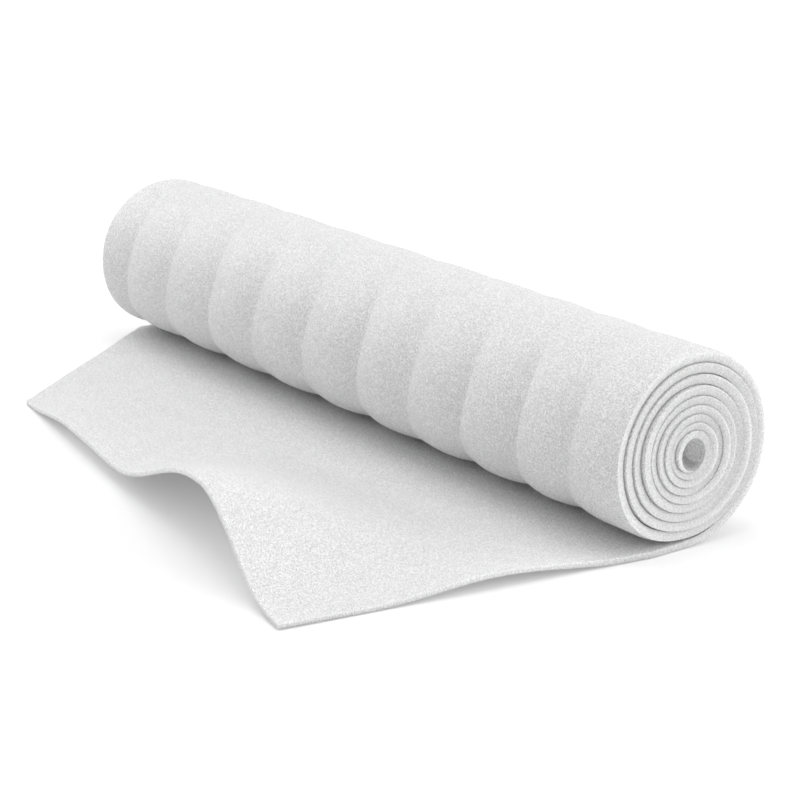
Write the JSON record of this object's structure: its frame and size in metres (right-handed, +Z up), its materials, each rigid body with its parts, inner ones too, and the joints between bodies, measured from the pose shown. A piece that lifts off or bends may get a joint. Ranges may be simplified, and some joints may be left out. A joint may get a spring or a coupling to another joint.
{
  "type": "foam wrap roll",
  "caption": "Roll of white foam wrap lying on its side, with soft gathers round it, its loose end drawn out on the floor and standing up in one wave.",
  "frame": {"origin": "on the floor, midway along the roll and straight below its axis", "axes": "+X along the roll towards its near end, -Y towards the loose end, +Z up"},
  "size_m": [0.305, 0.164, 0.0617],
  "materials": {
    "foam": "matte"
  },
  "bodies": {
    "root": {"foam_sheet": "foam"}
  },
  "joints": []
}
